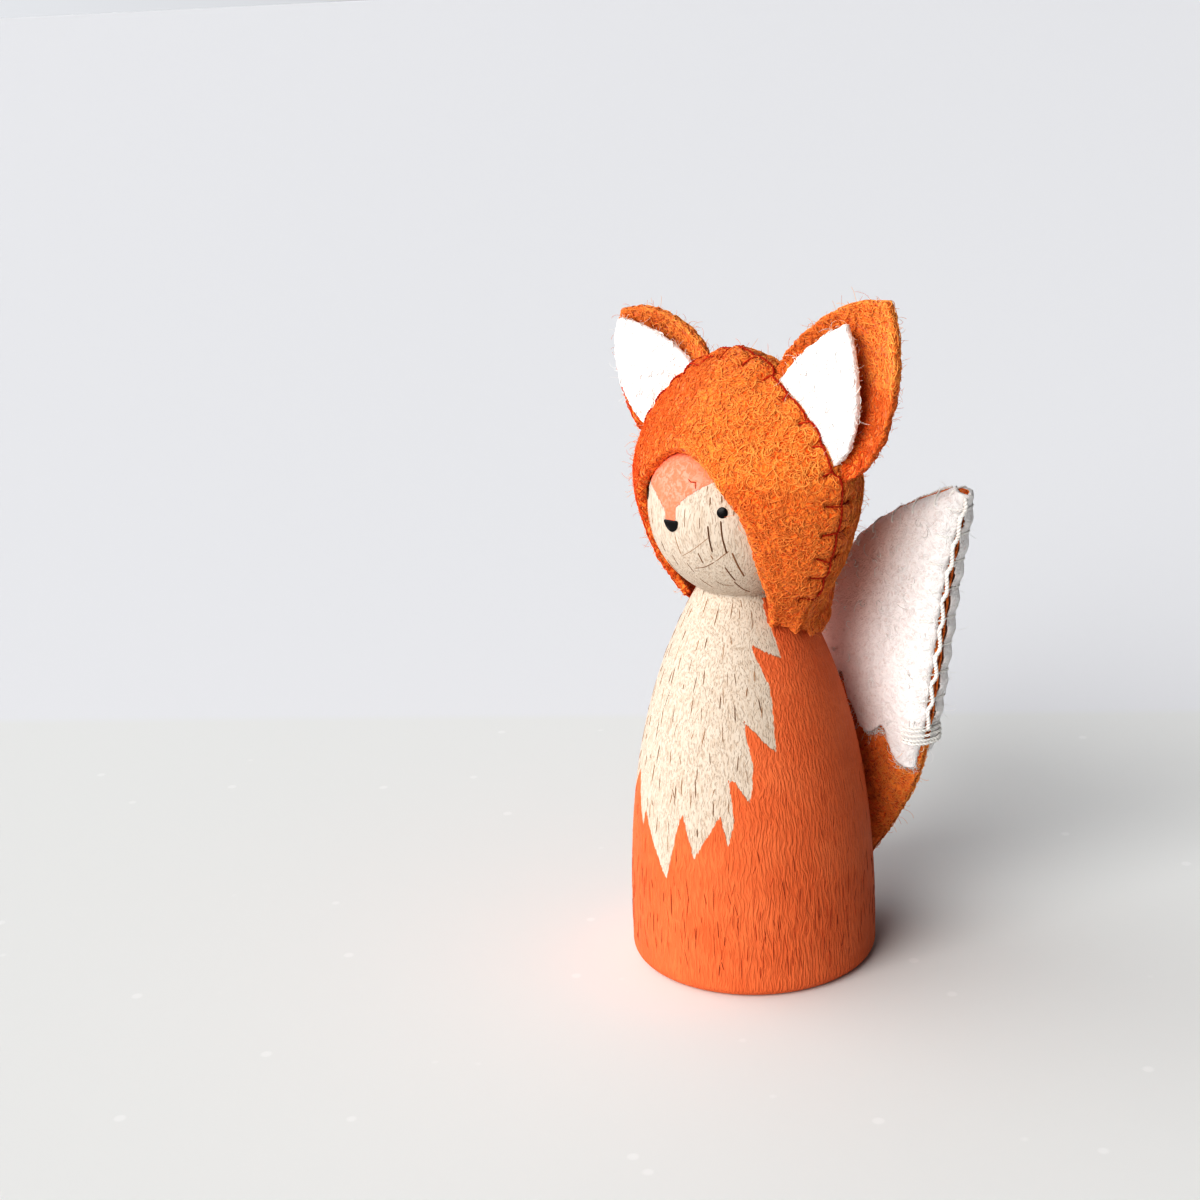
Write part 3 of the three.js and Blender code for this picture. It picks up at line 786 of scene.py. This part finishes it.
def smooth_line(points, step=0.16 * MM):
    """Points at an even step along a smooth curve through a few points."""
    ends = [points[0] * 2 - points[1], *points, points[-1] * 2 - points[-2]]
    line = []
    for a, b, c, d in zip(ends, ends[1:], ends[2:], ends[3:]):
        steps = max(1, round((c - b).length / step))
        for i in range(steps):
            u = i / steps
            place = b + (c - a) * u / 2
            place += (a * 2 - b * 5 + c * 4 - d) * u**2 / 2
            place += (b * 3 - a - c * 3 + d) * u**3 / 2
            line.append(place)
    return [*line, points[-1].copy()]


def first_hit(trees, origin, way):
    """The nearest place and normal that a ray meets on any of the pieces, or None."""
    found = [tree.ray_cast(origin, way) for tree in trees]
    met = [hit for hit in found if hit[0] is not None]
    return min(met, key=lambda hit: hit[3])[:2] if met else None


# Hood seam, in degrees round the head from the crown towards the doll's left, and in degrees of tilt
# towards the back panel. SLIT is how far on_hood looks to either side, to bridge the panels' slit.
SEAM_FIRST = 8.8
SEAM_PITCH = 12.05
SEAM_END = 138
SEAM_HOLE = 6.6
EAR_SEAM = (19, 72)
EAR_SEAM_TILTS = {"left": 3.7, "right": 7.2}
SLIT = 1.4
LOOSE_THREAD = [(-6, -7.2), (-9, -8.4), (-14, -8.8), (-19, -7.4), (-24, -5.8), (-28, -4.4)]


def seam_turns():
    """Where the stitches lie along the hood's seam."""
    pick = random.Random(5)
    first = math.ceil((-SEAM_END - SEAM_FIRST) / SEAM_PITCH)
    last = math.floor((SEAM_END - SEAM_FIRST) / SEAM_PITCH)
    return [SEAM_FIRST + k * SEAM_PITCH + pick.uniform(-0.9, 0.9) for k in range(first, last + 1)]


def on_hood(trees, turn, tilt, lift):
    """A place on the hood's outside, lifted off it. A thread there bridges the slit between the panels."""
    reaches = []
    for aside in (-SLIT, SLIT, 0):
        a, b = math.radians(turn), math.radians(tilt + aside)
        way = Vector((math.sin(a) * math.cos(b), math.sin(b), math.cos(a) * math.cos(b)))
        hit = first_hit(trees, HEAD_CENTRE + way * 45 * MM, -way)
        if hit:
            reaches.append((hit[0] - HEAD_CENTRE).dot(way))
    return HEAD_CENTRE + way * (max(reaches, default=HOOD_INSIDE) + lift)


def seam_tilt(turn, side):
    """The seam lies on the ridge, and on either side of the ears where they are sewn in."""
    inside = min(abs(turn) - EAR_SEAM[0], EAR_SEAM[1] - abs(turn)) / 4
    most = EAR_SEAM_TILTS["left" if turn > 0 or side > 0 else "right"]
    return side * most * min(max(inside, 0.05), 1)


# How the thread presses the hood's felt, as (depth, reach) in mm: at its holes, along its stitches, and
# between two stitches, where the felt stands up instead
HOLE_PRESS = (0.75, 0.36)
CROSS_PRESS = (0.26, 0.42)
PUFF_PRESS = (-0.22, 1.3)
PUFF_TILT = 3.2
THREAD_REST = SEAM_THREAD * 0.45


def press_hood():
    """The felt is drawn in at and along each cross stitch, and stands up between two of them."""
    trees = [hood_front.tree(), hood_back.tree()]
    turns = seam_turns()
    for felt, side in ((hood_front, -1), (hood_back, 1)):
        holes = [(turn, side * SEAM_HOLE) for turn in turns]
        crosses = [(turn, side * SEAM_HOLE * share) for turn in turns for share in (0.95, 0.72, 0.5, 0.28)]
        puffs = [(turn + SEAM_PITCH / 2, side * PUFF_TILT) for turn in turns[:-1]]
        for places, (depth, reach) in ((crosses, CROSS_PRESS), (holes, HOLE_PRESS), (puffs, PUFF_PRESS)):
            felt.press([on_hood(trees, *place, 0) for place in places], reach * MM, depth * MM)


def seam_chain(trees, turns, pick):
    """The chain along the ridge, a little slack between two stitches."""
    chain = []
    for turn, after in zip(turns, turns[1:]):
        slack = pick.uniform(-0.2, 0.9)
        for share in (0, 0.2, 0.4, 0.6, 0.8):
            here = turn + (after - turn) * share
            tilt = seam_tilt(here, -1) - slack * math.sin(math.pi * share)
            chain.append(on_hood(trees, here, tilt, THREAD_REST))
    return smooth_line(chain)


def cross_stitch(trees, turn, side, pick):
    """One stitch from the ridge down to its hole in a panel. The back panel's lie in the wool."""
    lean = pick.uniform(-1.2, 2.0)
    top = seam_tilt(turn, side)
    hole = side * (max(SEAM_HOLE, abs(top) + 2.9) + pick.uniform(-0.3, 0.4))
    lift = THREAD_REST * (1 if side < 0 else -0.4)
    path = [on_hood(trees, turn + lean, top, lift)]
    for share in (0.35, 0.7, 0.95):
        tilt = top + (hole - top) * share
        path.append(on_hood(trees, turn + lean * (1 - share), tilt, lift * (1 - share)))
    path.append(on_hood(trees, turn, hole, -0.5 * MM))
    return smooth_line(path)


def sew_hood():
    """Blanket stitch over the hood's ridge, and the loose end of its thread."""
    press_hood()
    trees = [hood_front.tree(), hood_back.tree()]
    turns = seam_turns()
    pick = random.Random(11)
    strands = plies(seam_chain(trees, turns, pick), SEAM_THREAD)
    for side in (-1, 1):
        for turn in turns:
            strands += plies(cross_stitch(trees, turn, side, pick), SEAM_THREAD * 0.85)
    loose_end = [on_hood(trees, *place, THREAD_REST * 1.4) for place in LOOSE_THREAD]
    strands += plies(smooth_line(loose_end), SEAM_THREAD * 0.7)
    strand_piece("hood_seam_thread", strands, THREAD_SIDES, "hood", seam_thread, 3)


# Tail leaf seen along Y, as [sideways, up] in mm from the root to the tip
TAIL_OUTER_EDGE = [
    (2.2, 5.6), (7.0, 11.8), (11.8, 18.9), (15.8, 27.3), (18.4, 40.7), (20.2, 53.2), (22.2, 61.7),
    (24.1, 67.8),
]
TAIL_INNER_EDGE = [
    (1.2, 5.9), (-1.5, 14), (-3, 25), (-3, 37), (-1, 48), (4.4, 58.3), (12.4, 64.1), (22.6, 68.8),
]
# The middle of its layers in Y, where its stitches run, and how its rim is drawn in and widened
TAIL_CORE = 18.93 * MM
STITCH_START = 32.4 * MM
STITCH_END = 31 * MM
RIM_SOFTNESS = 1.15 * MM
RIM_HOLE = 1.9 * MM
TIP_ZONE = (24 * MM, 31 * MM)
TIP_REACH = 1.8 * MM
WIDER = 1.9 * MM
WIDER_REACH = 4.5 * MM
WIDER_HEIGHT = 48.5 * MM
WIDER_SPAN = 6.5 * MM


def tail_rim():
    """Places up the leaf's outer edge and down its inner one, each with its way out and its run so far."""
    outer = smooth_line([Vector((x, 0, z)) * MM for x, z in TAIL_OUTER_EDGE], 0.25 * MM)
    inner = smooth_line([Vector((x, 0, z)) * MM for x, z in reversed(TAIL_INNER_EDGE)], 0.25 * MM)
    line = outer + inner
    rim, run = [], 0.0
    for i, place in enumerate(line):
        run += (place - line[max(i - 1, 0)]).length
        ahead = line[min(i + 4, len(line) - 1)] - line[max(i - 4, 0)]
        out = Vector((ahead.z, 0, -ahead.x)).normalized()
        rim.append((place, out, run))
    return rim


rim = tail_rim()
rim_tip = max(range(len(rim)), key=lambda i: rim[i][0].z)
stitch_from = next(run for place, out, run in rim if place.z > STITCH_START)
stitch_to = next(run for place, out, run in rim[rim_tip:] if place.z < STITCH_END)
stitch_gaps = int((stitch_to - stitch_from) / STITCH_PITCH)
stitch_runs = [stitch_from + k * STITCH_PITCH for k in range(stitch_gaps + 1)]
tip_run = rim[rim_tip][2] - 0.5 * MM
rim_finder = KDTree(len(rim))
for i, (place, out, run) in enumerate(rim):
    rim_finder.insert(place, i)
rim_finder.balance()


def bulge_at(run):
    """The felt stands out between two stitches and is drawn in at each."""
    return math.sin(math.pi * (run - stitch_from) / STITCH_PITCH) ** 2


def fuller(points):
    """A shift that widens the leaf's inner edge below the hood, so that no light shows beside the body."""
    moved = np.zeros_like(points)
    for i, (x, y, z) in enumerate(points):
        place, index, gap = rim_finder.find(Vector((x, 0, z)))
        if index > rim_tip:
            near = math.exp(-((gap / WIDER_REACH) ** 2) - ((z - WIDER_HEIGHT) / WIDER_SPAN) ** 2)
            way = rim[index][1] * WIDER * near
            moved[i] = (way.x, 0, way.z)
    return moved


def drawn_in(out_least, out_most, y_shift, y_spread, out_inner, out_tip):
    """A shift for a layer of the tail's tip: out past the rim between stitches, and along Y at the rim.
    The inner edge, past the tip, and the tip itself have ways out of their own."""

    def shift(points):
        moved = np.zeros_like(points)
        for i, (x, y, z) in enumerate(points):
            place, index, gap = rim_finder.find(Vector((x, 0, z)))
            height = (z - TIP_ZONE[0]) / (TIP_ZONE[1] - TIP_ZONE[0])
            share = math.exp(-((gap / RIM_SOFTNESS) ** 2)) * min(max(height, 0), 1)
            out = out_least + (out_most - out_least) * bulge_at(rim[index][2])
            if index > rim_tip:
                out = out_inner
            near_tip = math.exp(-(((rim[index][2] - tip_run) / TIP_REACH) ** 2))
            out += (out_tip - out) * near_tip
            way = rim[index][1] * share * out
            moved[i] = (way.x, share * (y_shift + y_spread * (y - TAIL_CORE)), way.z)
        return moved

    return shift


tip_front.move(drawn_in(-0.1 * MM, 0.25 * MM, 1.13 * MM, 0.33, -0.15 * MM, 0.15 * MM))
tip_back.move(drawn_in(-0.15 * MM, 0.4 * MM, -3.22 * MM, 1.75, -0.45 * MM, 0.2 * MM))
tail_front.move(drawn_in(-0.3 * MM, -0.15 * MM, 0.05 * MM, 0, -0.05 * MM, -0.9 * MM))
tail_back.move(drawn_in(-0.3 * MM, -0.15 * MM, -0.05 * MM, 0, -0.05 * MM, -0.9 * MM))
for felt in (tip_front, tip_back, tail_front, tail_back, stuffing):
    felt.move(fuller)


def at_rim(run, y, out):
    """A place at a run along the rim, at y, and out from the leaf's edge."""
    index = min(range(len(rim)), key=lambda i: abs(rim[i][2] - run))
    place, way, _ = rim[index]
    return place + way * out + Vector((0, y, 0))


def on_tail_face(trees, place, side, lift):
    """The place on the tail's front or back face that lies in line with a point."""
    way = Vector((0, side, 0))
    hit = first_hit(trees, place + way * 30 * MM, -way)
    return hit[0] + way * lift if hit else place


# Rim stitches: where the thread turns round the rim, and the chain's ends in Y
RIM_DEPTH = 1.2 * MM
RIM_CENTRE = 19.6 * MM
RIM_TURNS = (-80, -50, -20, 10, 40, 70)
CHAIN_BACK = 18.1 * MM
CHAIN_FRONT = 17.3 * MM
CHAIN_HIDDEN = 2.9 * MM
# The chain from stitch to stitch, as (share of the way, share from back to front, mm out from the edge)
CHAIN_SHAPE = ((0, 0.05, 0.36), (0.35, 0.55, 0.5), (0.75, 0.95, 0.42))
KNOT_LOOPS = 4
KNOT_SPAN = 2.9 * MM
# Thickness of the tail's threads, as shares of TAIL_THREAD
CROSS_SHARE = 0.7
CHAIN_SHARE = 1.5
KNOT_SHARE = 1.15


def round_rim(trees, run, span, lift):
    """A thread's way over the rim, from a hole in the front face to one in the back face."""
    path = []
    for side, shares in ((-1, (1.0, 0.85, 0.5)), (1, (0.5, 0.85, 1.0))):
        for share in shares:
            inside = at_rim(run, 0, -RIM_DEPTH - (span - RIM_DEPTH) * share)
            path.append(on_tail_face(trees, inside, side, lift * (1 - 2.4 * share**6)))
    middle = at_rim(run, RIM_CENTRE, -RIM_DEPTH)
    out = (at_rim(run, RIM_CENTRE, 0) - middle).normalized()
    over = []
    for turn in RIM_TURNS:
        way = out * math.cos(math.radians(turn)) + Vector((0, math.sin(math.radians(turn)), 0))
        hit = first_hit(trees, middle + way * 8 * MM, -way)
        if hit:
            over.append(hit[0] + way * lift)
    return smooth_line(path[:3] + over + path[3:])


def sew_tail():
    """Blanket stitch: cross threads over the rim, and a chain that runs along it from stitch to stitch."""
    trees = [felt.tree() for felt in (tip_front, tail_front, tail_back, tip_back)]
    pick = random.Random(23)
    strands = []
    for run in stitch_runs:
        strands += plies(round_rim(trees, run, RIM_HOLE, TAIL_THREAD * 0.25), TAIL_THREAD * CROSS_SHARE)
    before_tip = [run for run in stitch_runs if run < tip_run]
    after_tip = [run for run in stitch_runs if run > tip_run + STITCH_PITCH / 2]
    for hidden, runs in ((0, [*before_tip, tip_run - 1.2 * MM]), (CHAIN_HIDDEN, after_tip)):
        chain = []
        for run, after in zip(runs, runs[1:]):
            slack = pick.uniform(0.8, 1.2)
            for share, forward, out in CHAIN_SHAPE:
                y = CHAIN_BACK + (CHAIN_FRONT - CHAIN_BACK) * forward * slack + hidden
                chain.append(at_rim(run + (after - run) * share, y, (out - 0.5 * bool(hidden)) * MM))
        strands += plies(smooth_line(chain), TAIL_THREAD * CHAIN_SHARE)
    for k in range(KNOT_LOOPS):
        run = stitch_from - (0.5 + 0.62 * k + pick.uniform(-0.2, 0.2)) * MM
        span = KNOT_SPAN * pick.uniform(0.75, 1.1)
        lift = TAIL_THREAD * (0.5 + 0.12 * k)
        strands += plies(round_rim(trees, run, span, lift), TAIL_THREAD * KNOT_SHARE)
    strand_piece("tail_thread", strands, THREAD_SIDES, "peg", white_thread, 4)


sew_hood()
sew_tail()


# Dark rays of the bare beech, on the face and all over the bib, and fine cracks in the body's paint drawn
# as thin dark lines of painted shade, with the lowest and highest of each in mm, and their lengths and
# widths in mm
RAY_SUNK = 0.12
RAY_CLEAR = 0.25 * MM
RAY_STEPS = 4
RAY_ROWS = 1.25
BIB_RAYS = {
    "ends": (15, NECK_HEIGHT / MM), "spacing": 2.5 * MM, "lengths": (0.8, 3.4), "widths": (0.08, 0.16),
}
LOW_CRACKS = {"ends": (2.5, 13), "spacing": 1.9 * MM, "lengths": (1.0, 4.6), "widths": (0.06, 0.13)}
HIGH_CRACKS = {"ends": (13, 30), "spacing": 3.4 * MM, "lengths": (0.8, 3.0), "widths": (0.05, 0.09)}


def upright_line(low, turn, length, lean, width):
    """A nearly upright line on the body, from a height and a turn in radians from the front."""
    line = []
    for i in range(RAY_STEPS + 1):
        z = min(low + length * i / RAY_STEPS, NECK_HEIGHT - 0.1 * MM)
        around = turn + lean * i / RAY_STEPS
        r = body_radius(z) - width * RAY_SUNK
        line.append(Vector((math.sin(around) * r, -math.cos(around) * r, z)))
    return line


def body_rays(seed, painted, ends, spacing, lengths, widths):
    """Short upright lines round the body between two heights, all on the paint or all on the wood."""
    pick = random.Random(seed)
    rays = []
    height = ends[0] * MM
    while height < ends[1] * MM:
        radius = body_radius(height)
        for k in range(int(2 * math.pi * radius / spacing)):
            low = height + pick.uniform(0, 1) * spacing
            turn = (k + pick.uniform(0, 1)) * spacing / radius - math.pi
            length = pick.uniform(*lengths) * MM
            width = pick.uniform(*widths) * MM
            line = upright_line(low, turn, length, pick.gauss(0, 0.02), width)
            inside = paint_edges(np.array([line[0], line[-1]])) * (1 if painted else -1)
            if inside.min() > RAY_CLEAR:
                rays.append((line, width))
        height += spacing * RAY_ROWS
    return rays


def on_face(places, width):
    """A thin line on the ball through places given in degrees."""
    depth = HEAD_RADIUS - width * RAY_SUNK
    line = smooth_line([on_ball(*place, depth) for place in places], 0.3 * MM)
    return [HEAD_CENTRE + (p - HEAD_CENTRE).normalized() * depth for p in line], width


rays = body_rays(31, False, **BIB_RAYS)
rays += [on_face(places, width * FACE_LINE_SHARE * MM) for places, width in FACE_LINES]
strand_piece("beech_rays", rays, THREAD_SIDES, "peg", grain_line, 6)
# Fine cracks in the paint, drawn as thin dark lines of painted shade
cracks = body_rays(32, True, **LOW_CRACKS) + body_rays(33, True, **HIGH_CRACKS)
cracks.append(on_face(BLAZE_CRACK, 0.15 * MM))
strand_piece("paint_crack_shades", cracks, THREAD_SIDES, "peg", paint_crack_shade, 7)

# Loose fibres of each felt: how many lie and how many stray, where they grow, and the wisps at its edge
WOOL_SEED = 40
wool = {}
for felt, lying, straying, material, shows, wisps in (
    (hood_front, 3900, 800, orange_wool, outside_hood, None),
    (hood_back, 3900, 800, orange_wool, outside_hood, None),
    (outer_ears["left"], 2000, 650, orange_wool, None, None),
    (outer_ears["right"], 1600, 520, orange_wool, None, None),
    (inner_ears["left"], 300, 300, white_wool, None, None),
    (inner_ears["right"], 300, 300, white_wool, None, None),
    (tail_front, 1200, 300, orange_wool, below_tip, None),
    (tail_back, 1200, 300, orange_wool, below_tip, None),
    (tip_front, 120, 320, white_wool, None, (tail_front, 170)),
    (tip_back, 120, 320, white_wool, None, (tail_back, 170)),
):
    seed = WOOL_SEED + len(wool)
    wool[felt.piece.name] = wool_on(felt, lying, straying, material, seed, shows, wisps)

# Camera, at the photograph's place and angle
CAMERA_PLACE = Vector((193.9, -179.9, 134.5)) * MM
CAMERA_TURN = math.radians(51.5)
CAMERA_PITCH = math.radians(17.16)
CAMERA_ROLL = math.radians(-2.75)
LENS = 60.0
SENSOR = 36.0


def make_camera():
    data = bpy.data.cameras.new("camera")
    data.lens = LENS
    data.sensor_width = SENSOR
    data.clip_start = 5 * MM
    data.clip_end = 200
    camera = object_of("camera", data)
    camera.rotation_mode = "XYZ"
    level = Matrix.Rotation(CAMERA_TURN, 4, "Z") @ Matrix.Rotation(math.pi / 2 - CAMERA_PITCH, 4, "X")
    camera.matrix_world = Matrix.Translation(CAMERA_PLACE) @ level @ Matrix.Rotation(CAMERA_ROLL, 4, "Z")
    scene.camera = camera


# Studio: a pale table that ends at a light wall, drawn on one floor so that no view is blocked
TABLE_TURN = math.radians(45)
TABLE_END = 92.5 * MM
FLOOR_RADIUS = 40.0


def make_floor():
    bm = bmesh.new()
    bmesh.ops.create_circle(bm, cap_ends=True, segments=96, radius=FLOOR_RADIUS)
    s = Shader("pale_floor")
    beyond = s.add("VectorMath", {0: s.place, 1: (-math.sin(TABLE_TURN), math.cos(TABLE_TURN), 0)})
    beyond.operation = "DOT_PRODUCT"
    wall = s.ramp(beyond.outputs["Value"], TABLE_END - 1.5 * MM, TABLE_END + 3.5 * MM)
    dots = s.add("TexVoronoi", {"Vector": s.place, "Scale": 95.0}).outputs["Distance"]
    speck = s.ramp(dots, 0.05, 0.09, 1, 0)
    table = s.mix(s.math("MULTIPLY", speck, 0.3), TABLE_GREY, TABLE_SPECK)
    s.set(Base_Color=s.mix(wall, table, WALL_GREY), Roughness=0.75, Specular_IOR_Level=0.2)
    floor = object_of("floor", mesh_of("floor", bm))
    floor.data.materials.append(s.material)


# Windows on the camera's left: degrees aside from the camera, degrees up, degrees wide, and strength
WINDOWS = {"near_window": (42, 28, 46, 2.28), "far_window": (98, 14, 80, 1.2)}
WINDOW_COLOUR = (1.0, 0.985, 0.96)
# The room is pale from PALE_SIDE degrees on the camera's left round to what lies behind the doll
PALE_SIDE = 75
ROOM_EDGE = (-0.35, 0.75)
ROOM_BRIGHT = (0.60, 0.61, 0.63, 1.0)
ROOM_DIM = (0.07, 0.07, 0.075, 1.0)


def level_way(aside):
    """The level direction from the doll at degrees to the left of the camera."""
    facing = CAMERA_TURN - math.radians(aside)
    return Vector((math.sin(facing), -math.cos(facing), 0))


def make_windows():
    for name, (aside, rise, wide, strength) in WINDOWS.items():
        up = math.radians(rise)
        data = bpy.data.lights.new(name, "SUN")
        data.energy = strength
        data.angle = math.radians(wide)
        data.color = WINDOW_COLOUR
        window = object_of(name, data)
        window.rotation_mode = "QUATERNION"
        toward = level_way(aside) * math.cos(up) + Vector((0, 0, math.sin(up)))
        window.rotation_quaternion = (-toward).to_track_quat("-Z", "Y")


def make_room():
    """Light from all round, brighter on the windows' side and behind the doll."""
    world = bpy.data.worlds.new("room")
    world.use_nodes = True
    nodes, links = world.node_tree.nodes, world.node_tree.links
    pale_side = nodes.new("ShaderNodeVectorMath")
    pale_side.operation = "DOT_PRODUCT"
    links.new(nodes.new("ShaderNodeTexCoord").outputs["Generated"], pale_side.inputs[0])
    ahead = Vector((-math.sin(CAMERA_TURN), math.cos(CAMERA_TURN), 0))
    pale_side.inputs[1].default_value = (ahead * 0.5 + level_way(PALE_SIDE) * 0.8).normalized()
    spread = nodes.new("ShaderNodeMapRange")
    spread.interpolation_type = "SMOOTHSTEP"
    spread.inputs["From Min"].default_value = ROOM_EDGE[0]
    spread.inputs["From Max"].default_value = ROOM_EDGE[1]
    links.new(pale_side.outputs["Value"], spread.inputs["Value"])
    tone = nodes.new("ShaderNodeMix")
    tone.data_type = "RGBA"
    tone.inputs[6].default_value = ROOM_DIM
    tone.inputs[7].default_value = ROOM_BRIGHT
    links.new(spread.outputs[0], tone.inputs[0])
    links.new(tone.outputs[2], nodes["Background"].inputs["Color"])
    scene.world = world


make_camera()
make_floor()
make_windows()
make_room()
scene.view_settings.view_transform = "Standard"
scene.view_settings.look = "High Contrast"
